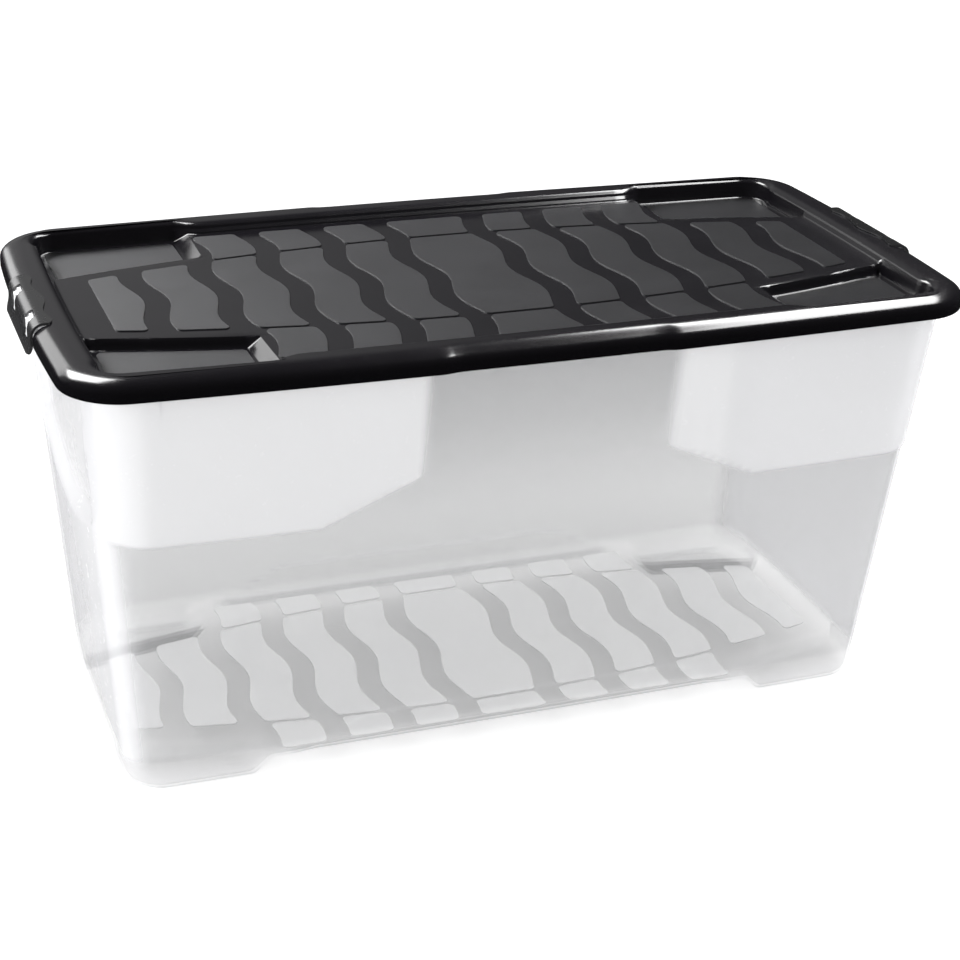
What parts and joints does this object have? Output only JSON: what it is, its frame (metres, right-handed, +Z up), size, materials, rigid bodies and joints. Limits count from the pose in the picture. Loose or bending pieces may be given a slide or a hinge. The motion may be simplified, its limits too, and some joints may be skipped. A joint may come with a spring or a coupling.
{
  "type": "clip-lid storage box",
  "caption": "Tall clear plastic storage box with tapered walls and hollow corner feet, closed by a black clip-on lid with a stacking recess and sprung end clips.",
  "frame": {"origin": "on the ground under the middle of the box, between its four feet", "axes": "+X along the long side of the box, +Y across it, +Z up"},
  "size_m": [0.731, 0.3638, 0.3634],
  "materials": {
    "clear_polypropylene": "milky clear moulded polypropylene, lightly frosted pads on the floor",
    "black_polypropylene": "gloss black moulded polypropylene with fine matte grey raised pads"
  },
  "bodies": {
    "box": {"box_body": "clear_polypropylene"},
    "lid": {"lid": "black_polypropylene"},
    "clip_left": {"clip_left": "black_polypropylene"},
    "clip_right": {"clip_right": "black_polypropylene"}
  },
  "joints": [
    {"name": "lid_lift", "type": "slide", "parent": "box", "child": "lid", "axis": [0, 0, 1], "range_m": [0, 0.4]},
    {"name": "clip_left_flex", "type": "hinge", "parent": "lid", "child": "clip_left", "pos_m": [-0.343, 0, 0.3623], "axis": [0, 1, 0], "range_deg": [0, 25], "stiffness_Nm_per_rad": 0.2},
    {"name": "clip_right_flex", "type": "hinge", "parent": "lid", "child": "clip_right", "pos_m": [0.343, 0, 0.3623], "axis": [0, -1, 0], "range_deg": [0, 25], "stiffness_Nm_per_rad": 0.2}
  ]
}
